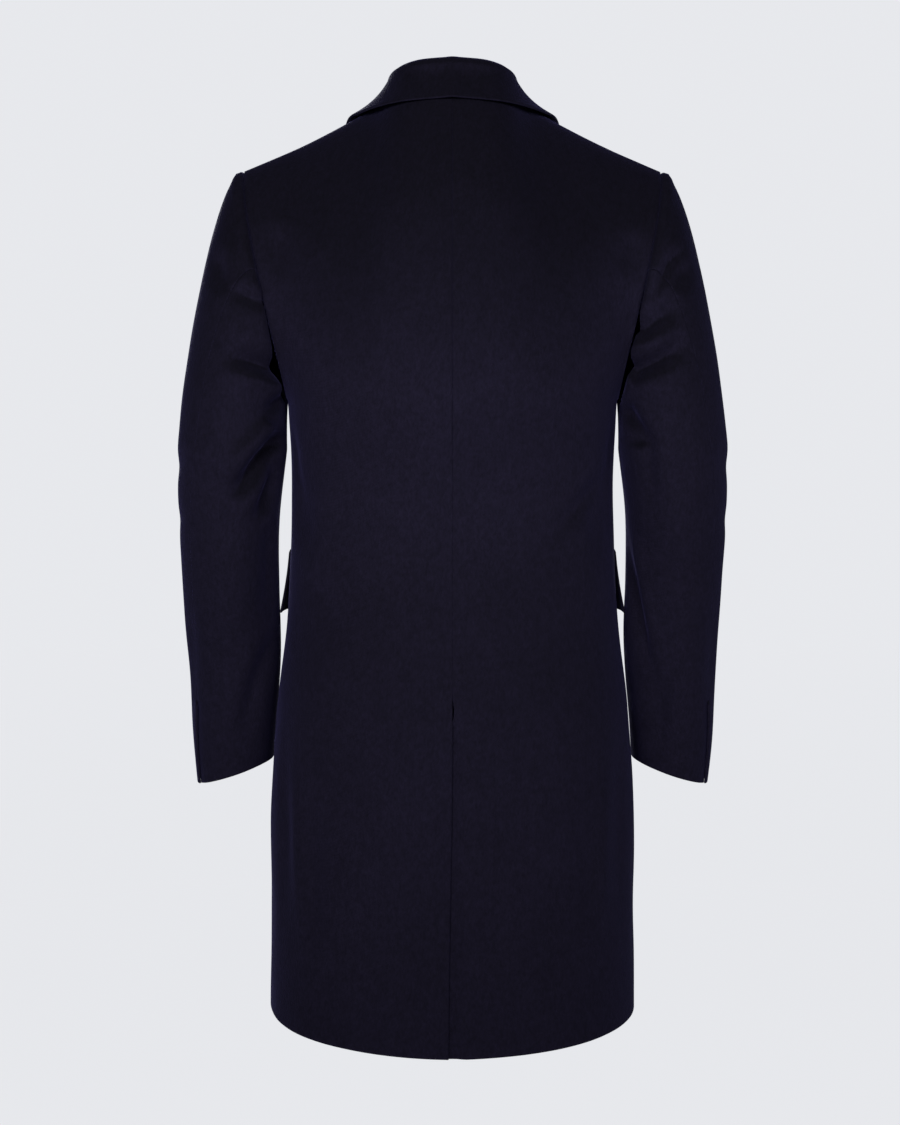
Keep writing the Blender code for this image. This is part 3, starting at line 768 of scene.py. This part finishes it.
def fronts():
    """The left front laps over the right, which is set in near its edge."""
    shares = np.linspace(0, 1, PANEL_COLUMNS + 1)
    ups = two_stretches(PANEL_ROWS)
    rows = refined(np.array([[front_surface(a, up) for a in shares] for up in ups]))
    for side in SIDES:
        grid, flip = rows, side == "right"
        if side == "right":
            tuck = FRONT_TUCK * smooth(FRONT_LAP + TUCK_RAMP, FRONT_LAP, grid[..., 0])
            grid = mirror(grid + tuck[..., None] * np.array([0, 1, 0]))
        grid = folded(grid, flip, BODY_FOLDS)
        cloth(f"front_{side}", grid, flip, (FREE, SEWN, FREE, SEWN))


# The rope is the ridge of the sleeve head, beside the armhole.
ROPE_HEIGHT = 0.0024
ROPE_WIDTH = 0.0065
ROPE_FROM_SEAM = 0.006
HEAD_HEIGHTS = (-0.27, -0.16)
# Cuff vent: its length, and how far the top sleeve laps over and lifts off the under one.
CUFF_VENT = 0.098
CUFF_VENT_END = 0.006
CUFF_LAP = 0.0045
CUFF_LIFT = 0.0017
CUFF_SINK = -0.6 * CUFF_LIFT
CUFF_RAMP = (0.016, 0.003)


def sleeves():
    """Top and under sleeve of each side, with the sleeve head's rope at the armhole and a
    lapped vent at the end of the hind seam."""
    top, under = [], []
    for down in two_stretches(SLEEVE_ROWS):
        hind, fore = sleeve_seam(HIND_SEAM, down), sleeve_seam(FORE_SEAM, down)
        over = np.linspace(fore, hind + 360, TOP_SLEEVE_COLUMNS)
        below = np.linspace(hind, fore, UNDER_SLEEVE_COLUMNS)
        top.append([sleeve_surface(a % 360, down) for a in over])
        under.append([sleeve_surface(a, down) for a in below])
    for part, rows in (("top", top), ("under", under)):
        fine = refined(np.array(rows))
        for side, sign in SIDES.items():
            grid = fine if sign > 0 else mirror(fine)
            flip = sign > 0
            normals = normals_of(grid, flip)
            first, last, from_top, from_hem = edge_distances(grid)
            rope = ROPE_HEIGHT * np.exp(-(((from_top - ROPE_FROM_SEAM) / ROPE_WIDTH) ** 2))
            rope *= smooth(*HEAD_HEIGHTS, grid[..., 2])
            vent = smooth(CUFF_VENT, CUFF_VENT - CUFF_VENT_END, from_hem)
            hind, lift = (last, CUFF_LIFT) if part == "top" else (first, CUFF_SINK)
            lap = vent * smooth(*CUFF_RAMP, hind)
            grid = grid + normals * (rope + lift * lap)[..., None]
            if part == "top":
                around = grid[:, -1:] - grid[:, -4:-3]
                around /= np.linalg.norm(around, axis=-1, keepdims=True)
                grid = grid + around * (CUFF_LAP * lap)[..., None]
            grid = folded(grid, flip, SLEEVE_FOLDS, sleeve_side=sign)
            hind_edge = Edge(vent[:, 0], FAINT.depth, FAINT.width)
            edges = (FAINT, hind_edge) if part == "top" else (hind_edge, FAINT)
            cloth(f"sleeve_{part}_{side}", grid, flip, (*edges, ARMHOLE, FREE))


LAPEL_TURN = (WALL + LAPEL_LIFT) / 2
LAPEL_ROWS = 18
LAPEL_COLUMNS = 12
LAPEL_TURN_STEPS = 6
LAPEL_STEP = 0.003


def lapels():
    """Each lapel turns round the front's edge at the roll line and lies on its front."""
    for side in SIDES:
        grid = []
        for rise in np.linspace(0, 1, LAPEL_ROWS):
            row = []
            for share in np.linspace(0, 1, LAPEL_COLUMNS):
                top = GORGE_AT_ROLL + (GORGE_AT_POINT - GORGE_AT_ROLL) * share
                up = 1 + (top - 1) * rise
                across = through(LAPEL, rise)[0] / row_length(up) * share
                lift = LAPEL_ROLL * math.sin(math.pi * min(share * LAPEL_CREST, 1))
                out = WALL + LAPEL_LIFT + lift
                row.append(on_front(across, up, out, right=side == "right"))
            first, second = row[0], row[1]
            inward = (second - first) / np.linalg.norm(second - first)
            up = 1 + (GORGE_AT_ROLL - 1) * rise
            off = normal(front_surface, ARMHOLE_STEP, up, OUT_FRONT)
            middle = first - off * LAPEL_TURN
            turned = [
                middle - inward * LAPEL_TURN * math.sin(a) - off * LAPEL_TURN * math.cos(a)
                for a in np.linspace(0, math.pi, LAPEL_TURN_STEPS, endpoint=False)
            ]
            grid.append(turned + row)
        grid = np.array(grid)
        grid = refined(grid if side == "left" else mirror(grid), step=LAPEL_STEP)
        cloth(f"lapel_{side}", grid, side == "right", (PRESSED, FREE, FREE, FREE))


COLLAR_SECTIONS = 49
COLLAR_STEP = 0.0028


def collar():
    alongs = np.linspace(-1, 1, COLLAR_SECTIONS)
    grid = refined(np.array([collar_section(along) for along in alongs]), step=COLLAR_STEP)
    cloth("collar", grid, True, (SEWN, FREE, FREE, FREE))


FLAP_ROWS = 12
FLAP_COLUMNS = 16
FLAP_STEP = 0.003


def flaps():
    """Pocket flaps, sewn down along their top and lifted towards their lower edge, with a
    rounded front corner."""
    grid = []
    for drop in np.linspace(0, 1, FLAP_ROWS):
        row = []
        for share in np.linspace(0, 1, FLAP_COLUMNS):
            past = max(0.0, share * FLAP_LENGTH - (FLAP_LENGTH - FLAP_CORNER)) / FLAP_CORNER
            short = FLAP_CORNER_RISE * (1 - math.sqrt(max(0.0, 1 - past**2)))
            deep = drop * (1 - short / FLAP_HEIGHT)
            z = FLAP_TOP - FLAP_HEIGHT * deep
            up = (z - HEM_SIDE) / (CHEST - HEM_SIDE)
            across = 1 - (FLAP_FROM_SEAM + FLAP_LENGTH * share) / row_length(up)
            out = WALL + LAYER + (FLAP_LIFT + LAYER) * deep**FLAP_BEND
            point = front_surface(across, up)
            lifted = point + out * normal(front_surface, across, up, (1, -1, 0))
            lifted[2] = z
            row.append(lifted)
        grid.append(row)
    for side, sign in SIDES.items():
        fine = refined(np.array(grid), step=FLAP_STEP)
        fine = fine if sign > 0 else mirror(fine)
        cloth(f"pocket_flap_{side}", fine, sign < 0, (FREE, FREE, SEWN, FREE))


# ---- buttons

# A button's outline from its back to its middle, in shares of its radius and thickness.
BUTTON_OUTLINE = (
    (0.0, 0.0), (0.80, 0.0), (0.97, 0.22), (1.00, 0.55), (0.97, 0.84), (0.90, 0.98),
    (0.81, 0.98), (0.73, 0.86), (0.66, 0.70), (0.56, 0.62), (0.30, 0.58), (0.0, 0.57),
)
BUTTON_STEPS = 48
SAME_POINT = 1e-6
HOLE_RADIUS = 0.0011
HOLE_OFFSET = 0.0026
HOLE_STEPS = 16
CUTTER_DEPTH = 3
# A strand of thread runs from hole to hole: its depth is a share of the button's thickness.
THREAD_RADIUS = 0.00045
THREAD_ROUNDNESS = 3
STRAND_PITCH = 1.5 * THREAD_RADIUS
STRAND_POINTS = 13
STRAND_ENDS = 0.15
STRAND_RISE = 0.55
STRAND_BEND = 5
BUTTONHOLE = 0.022
BUTTONHOLE_AWAY = 0.002
BUTTONHOLE_STEPS = 28
SLIT_HALF_WIDTH = 0.0016
SLIT_THREAD = 0.00075
SLIT_PROUD = 0.0003


def buttons():
    """Four-hole horn buttons with a rolled rim and a dished middle, their thread, and the
    worked buttonhole each one passes through."""
    for number in (1, 2, 3):
        low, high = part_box(f"button_{number}")
        middle, radius, thick = (low + high) / 2, (high.x - low.x) / 2, high.y - low.y
        bm = bmesh.new()
        line = [bm.verts.new((radius * out, 0, thick * up)) for out, up in BUTTON_OUTLINE]
        edges = [bm.edges.new(pair) for pair in zip(line[:-1], line[1:])]
        bmesh.ops.spin(
            bm, geom=line + edges, cent=(0, 0, 0), axis=(0, 0, 1), angle=2 * math.pi,
            steps=BUTTON_STEPS, use_merge=True, use_duplicate=False,
        )
        bmesh.ops.remove_doubles(bm, verts=bm.verts, dist=SAME_POINT)
        bmesh.ops.recalc_face_normals(bm, faces=bm.faces)
        mesh = mesh_from(bm, f"button_{number}_horn")
        mesh.shade_smooth()
        mesh.materials.append(horn())
        obj = added(mesh.name, mesh)
        cut_holes(obj, thick)
        place = (middle.x, high.y, middle.z)
        obj.location = place
        obj.rotation_euler = (math.pi / 2, 0, 0)
        piece_of(obj, f"button_{number}")
        thread(number, place, thick)
        buttonhole(number, middle.z)


def cut_holes(obj, thick):
    bm = bmesh.new()
    for x, y in ((-1, -1), (-1, 1), (1, -1), (1, 1)):
        made = bmesh.ops.create_cone(
            bm, cap_ends=True, segments=HOLE_STEPS, radius1=HOLE_RADIUS, radius2=HOLE_RADIUS,
            depth=thick * CUTTER_DEPTH,
        )
        bmesh.ops.translate(bm, verts=made["verts"], vec=(x * HOLE_OFFSET, y * HOLE_OFFSET, 0))
    cutter = added("cutter", mesh_from(bm, "cutter"))
    holes = obj.modifiers.new("Holes", "BOOLEAN")
    holes.operation, holes.object, holes.solver = "DIFFERENCE", cutter, "EXACT"
    bpy.context.view_layer.update()
    evaluated = obj.evaluated_get(bpy.context.evaluated_depsgraph_get())
    cut = bpy.data.meshes.new_from_object(evaluated)
    obj.modifiers.clear()
    obj.data = cut
    bpy.data.objects.remove(cutter)


def tube(name, paths, radius, closed=False):
    """Thread of a radius along paths of points."""
    curve = bpy.data.curves.new(name, "CURVE")
    curve.dimensions = "3D"
    curve.bevel_depth = radius
    curve.bevel_resolution = THREAD_ROUNDNESS
    curve.use_fill_caps = True
    for path in paths:
        spline = curve.splines.new("POLY")
        spline.points.add(len(path) - 1)
        for point, place in zip(spline.points, path):
            point.co = (*place, 1)
        spline.use_cyclic_u = closed
    curve.materials.append(yarn())
    obj = added(name, curve)
    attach(obj, "root")


def thread(number, place, thick):
    """Two bars of thread between the holes, a few strands each."""
    x0, y0, z0 = place
    paths = []
    for row in (-1, 1):
        for strand in (-1, 0, 1):
            z = z0 + row * HOLE_OFFSET + strand * STRAND_PITCH
            path = []
            for t in np.linspace(-1, 1, STRAND_POINTS):
                rise = math.sqrt(max(0.0, 1 - abs(t) ** STRAND_BEND))
                sunk = thick * (STRAND_ENDS + STRAND_RISE * rise)
                path.append((x0 + t * HOLE_OFFSET, y0 - sunk, z))
            paths.append(path)
    tube(f"button_{number}_thread", paths, THREAD_RADIUS)


def buttonhole(number, z):
    """A worked loop of thread round the slit, from the button towards the front edge."""
    y = -through(BODY, z)[2] - SLIT_PROUD
    path = []
    for a in np.linspace(0, 2 * math.pi, BUTTONHOLE_STEPS, endpoint=False):
        along = math.copysign(math.sqrt(abs(math.cos(a))), math.cos(a))
        x = BUTTONHOLE / 2 * (along - 1) - BUTTONHOLE_AWAY
        path.append((x, y, z + SLIT_HALF_WIDTH * math.sin(a)))
    tube(f"buttonhole_{number}", [path], SLIT_THREAD, closed=True)


# ---- materials

NAVY = (0.0105, 0.0086, 0.0215, 1.0)
# Painted shade: the base colour darkens to this share where the cloth faces up, fully once its
# normal rises this far.
UPWARD_PAINTED_SHADE = 0.42
UPWARD_SHADE_TURN = 0.30
# Noises in the wool and horn: each takes the look from a dark factor to a light one.
Grain = namedtuple("Grain", "scale detail stretch dark light")
NAP = Grain(430, 4, (1, 1, 0.5), 0.78, 1.22)
CLUMP = Grain(150, 4, (1, 1, 0.7), 0.86, 1.14)
MOTTLE = Grain(9, 3, (1, 1, 1), 0.94, 1.06)
FIBRE = Grain(1300, 3, (1, 1, 1), 0.82, 1.18)
STREAK = Grain(160, 5, (1, 0.25, 1), 0.0, 1.0)
SCRATCH = Grain(900, 2, (1, 0.1, 1), 0.24, 0.42)
MIDDLE_OF_NOISE = (0.3, 0.7)


def fill(node, inputs):
    """Sets each input of a node to a value, or links it to another node's output."""
    for name, value in dict(inputs).items():
        if isinstance(value, bpy.types.NodeSocket):
            node.id_data.links.new(value, node.inputs[name])
        else:
            node.inputs[name].default_value = value


def new_node(tree, kind, inputs=(), **settings):
    node = tree.nodes.new("ShaderNode" + kind)
    for name, value in settings.items():
        setattr(node, name, value)
    fill(node, inputs)
    return node


def new_material(name):
    """A material, its node tree, its shader and the object's own coordinates."""
    material = bpy.data.materials.new(name)
    material.use_nodes = True
    tree = material.node_tree
    place = new_node(tree, "TexCoord").outputs["Object"]
    return material, tree, tree.nodes["Principled BSDF"], place


def noise(tree, place, grain):
    mapping = new_node(tree, "Mapping", {"Vector": place, "Scale": grain.stretch})
    inputs = {"Vector": mapping.outputs[0], "Scale": grain.scale, "Detail": grain.detail}
    return new_node(tree, "TexNoise", inputs).outputs["Fac"]


def ramp(tree, value, low, high, dark, light):
    """Value, from low to high, as a factor from dark to light."""
    ends = {"From Min": low, "From Max": high, "To Min": dark, "To Max": light}
    return new_node(tree, "MapRange", {"Value": value, **ends}).outputs["Result"]


def shade(tree, value, grain):
    return ramp(tree, value, *MIDDLE_OF_NOISE, grain.dark, grain.light)


def times(tree, first, second):
    return new_node(tree, "Math", {0: first, 1: second}, operation="MULTIPLY").outputs[0]


def colours(tree, value, dark, light, ends=(0.0, 1.0)):
    """Value as a colour from dark to light, between two ends."""
    node = new_node(tree, "ValToRGB", {"Fac": value})
    for stop, position, colour in zip(node.color_ramp.elements, ends, (dark, light)):
        stop.position, stop.color = position, colour
    return node.outputs["Color"]


def bump(tree, height, distance, strength, **under):
    inputs = {"Height": height, "Distance": distance, "Strength": strength, **under}
    return new_node(tree, "Bump", inputs).outputs["Normal"]


def ribs(tree, place, scale, distortion=0.0):
    inputs = {"Vector": place, "Scale": scale, "Distortion": distortion}
    return new_node(tree, "TexWave", inputs, bands_direction="DIAGONAL").outputs["Fac"]


@cache
def wool():
    """Brushed melton: felted fibres, a nap laid downwards and a faint twill below it, with
    painted shade that darkens the colour where the cloth faces up.
    """
    material, tree, shader, place = new_material("navy_wool")
    nap, clump, mottle, fibre = (noise(tree, place, g) for g in (NAP, CLUMP, MOTTLE, FIBRE))
    factor = times(
        tree,
        times(tree, shade(tree, nap, NAP), shade(tree, clump, CLUMP)),
        times(tree, shade(tree, mottle, MOTTLE), shade(tree, fibre, FIBRE)),
    )
    facing = new_node(tree, "NewGeometry").outputs["Normal"]
    upward = new_node(tree, "SeparateXYZ", {0: facing}).outputs["Z"]
    # Painted shade: the colour darkens where the cloth faces up.
    factor = times(tree, factor, ramp(tree, upward, 0.0, UPWARD_SHADE_TURN, 1.0, UPWARD_PAINTED_SHADE))
    grey = new_node(tree, "CombineColor", {0: factor, 1: factor, 2: factor}).outputs["Color"]
    mixed = {"Factor": 1.0, "A": NAVY, "B": grey}
    tint = new_node(tree, "Mix", mixed, data_type="RGBA", blend_type="MULTIPLY")
    twill = ribs(tree, place, scale=190, distortion=1.5)
    woven = bump(tree, twill, distance=0.00025, strength=0.35)
    laid = bump(tree, nap, distance=0.0010, strength=0.60, Normal=woven)
    looks = {
        "Base Color": tint.outputs["Result"],
        "Roughness": 0.88,
        "Specular IOR Level": 0.10,
        "Sheen Weight": 0.12,
        "Sheen Roughness": 0.42,
        "Sheen Tint": (0.30, 0.27, 0.85, 1.0),
        "Normal": bump(tree, fibre, distance=0.0005, strength=0.5, Normal=laid),
    }
    fill(shader, looks)
    return material


@cache
def horn():
    """Dark polished horn with faint streaks and fine scratches."""
    material, tree, shader, place = new_material("dark_horn")
    streak, scratch = noise(tree, place, STREAK), noise(tree, place, SCRATCH)
    dark, light = (0.006, 0.005, 0.006, 1), (0.030, 0.022, 0.018, 1)
    looks = {
        "Base Color": colours(tree, streak, dark, light, ends=(0.35, 0.72)),
        "Roughness": shade(tree, scratch, SCRATCH),
        "Normal": bump(tree, streak, distance=0.0003, strength=0.3),
    }
    fill(shader, looks)
    return material


@cache
def yarn():
    """Twisted sewing thread."""
    material, tree, shader, place = new_material("navy_thread")
    twist = ribs(tree, place, scale=700)
    dark, light = (0.004, 0.0035, 0.009, 1), (0.016, 0.014, 0.034, 1)
    looks = {
        "Base Color": colours(tree, twist, dark, light),
        "Roughness": 0.6,
        "Specular IOR Level": 0.25,
        "Normal": bump(tree, twist, distance=0.0003, strength=0.6),
    }
    fill(shader, looks)
    return material


# ---- camera, light and floor

CAMERA_PLACE = (0, 2.5, -0.28)
CAMERA_TILT = 5.02
LENS = 73.33
SHIFT = -0.0022
PAPER = (0.800, 0.810, 0.842, 1.0)
FLOOR_BELOW_HEM = 0.30

# A softbox has a grid that narrows its light to a spread.
Softbox = namedtuple("Softbox", "name x y z width height power spread")
SOFTBOXES = (
    Softbox("key", 0.60, 2.30, 0.45, 0.8, 0.6, 3.7, 62),
    Softbox("fill", -0.80, 2.30, 0.35, 0.8, 0.6, 2.0, 62),
    Softbox("front_key", 0.75, -2.30, 0.45, 0.8, 0.6, 4.6, 62),
    Softbox("front_fill", -0.65, -2.35, 0.10, 0.8, 0.6, 1.7, 62),
    Softbox("side_left", 2.3, 1.2, 0.45, 0.8, 0.8, 1.2, 80),
    Softbox("side_right", -2.3, 1.2, 0.45, 0.8, 0.8, 1.0, 80),
)
AIM = (0, 0, -0.42)
AMBIENT = 0.07
# How bright the floor is to the camera, and as a light on the coat.
FLOOR_SEEN = 0.985
FLOOR_GLOW = 0.20
FLOOR_RADIUS = 7.0
FLOOR_STEPS = 96
FLOOR_FADE = (1.5, 6.0)


def camera():
    data = bpy.data.cameras.new("camera")
    data.lens = LENS
    data.shift_x = SHIFT
    obj = added("camera", data)
    obj.location = CAMERA_PLACE
    obj.rotation_euler = (math.radians(90 - CAMERA_TILT), 0, math.pi)
    bpy.context.scene.camera = obj


def seen_as(tree, lights, looks):
    """One strength for what it lights, and another for how it looks to the camera."""
    seen = new_node(tree, "LightPath").outputs["Is Camera Ray"]
    return ramp(tree, seen, 0.0, 1.0, lights, looks)


def studio():
    """Soft light from all round, and the floor."""
    scene = bpy.context.scene
    scene.view_settings.view_transform = "Standard"
    world = bpy.data.worlds.new("studio")
    scene.world = world
    world.use_nodes = True
    tree = world.node_tree
    fill(tree.nodes["Background"], {"Color": PAPER, "Strength": seen_as(tree, AMBIENT, 1.0)})
    for box in SOFTBOXES:
        data = bpy.data.lights.new(box.name, "AREA")
        data.shape = "RECTANGLE"
        data.size, data.size_y = box.width, box.height
        data.energy = box.power
        data.spread = math.radians(box.spread)
        obj = added(box.name, data)
        obj.location = (box.x, box.y, box.z)
        toward = Vector(AIM) - obj.location
        obj.rotation_euler = toward.to_track_quat("-Z", "Y").to_euler()
    floor()


def floor():
    """It shows in the camera's view and fades into the background away from the coat."""
    bm = bmesh.new()
    bmesh.ops.create_circle(bm, cap_ends=True, segments=FLOOR_STEPS, radius=FLOOR_RADIUS)
    mesh = mesh_from(bm, "floor")
    obj = added("floor", mesh)
    obj.location = (0, 0, cad_box[0].z - FLOOR_BELOW_HEM)
    material, tree, shader, place = new_material("pale_floor")
    looks = {
        "Base Color": (0.02, 0.02, 0.02, 1),
        "Roughness": 0.9,
        "Specular IOR Level": 0.1,
        "Emission Color": PAPER,
        "Emission Strength": seen_as(tree, FLOOR_GLOW, FLOOR_SEEN),
    }
    fill(shader, looks)
    away = new_node(tree, "VectorMath", {0: place}, operation="LENGTH").outputs["Value"]
    clear = new_node(tree, "BsdfTransparent").outputs["BSDF"]
    parts = {0: ramp(tree, away, *FLOOR_FADE, 0.0, 1.0), 1: shader.outputs["BSDF"], 2: clear}
    surface = new_node(tree, "MixShader", parts).outputs["Shader"]
    fill(tree.nodes["Material Output"], {"Surface": surface})
    mesh.materials.append(material)


camera()
backs()
fronts()
sleeves()
lapels()
collar()
flaps()
buttons()
studio()
